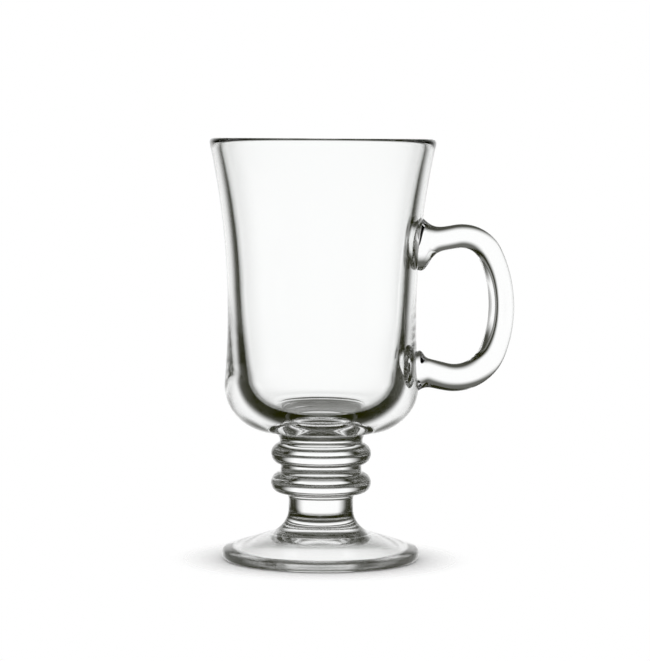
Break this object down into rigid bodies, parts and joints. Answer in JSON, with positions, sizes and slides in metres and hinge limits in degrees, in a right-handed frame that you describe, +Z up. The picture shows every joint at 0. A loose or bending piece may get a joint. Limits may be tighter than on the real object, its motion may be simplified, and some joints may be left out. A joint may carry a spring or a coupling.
{
  "type": "footed glass coffee mug",
  "caption": "Clear glass coffee mug with a flared thick-walled bowl, a D-shaped side handle, a ringed stem and a low conical foot, for hot drinks with cream.",
  "frame": {"origin": "on the bowl's axis, on the plane that the foot stands on", "axes": "+Z up along the bowl's axis, +X towards the handle, +Y completes the right-handed frame"},
  "size_m": [0.1028, 0.0762, 0.142],
  "materials": {
    "bowl_glass": "clear, fire-polished, smooth",
    "stem_glass": "clear, pressed, fire-polished",
    "foot_glass": "clear, pressed, faintly wavy",
    "handle_glass": "clear, pressed, fire-polished"
  },
  "bodies": {
    "root": {"bowl": "bowl_glass", "stem": "stem_glass", "foot": "foot_glass", "handle": "handle_glass"}
  },
  "joints": []
}
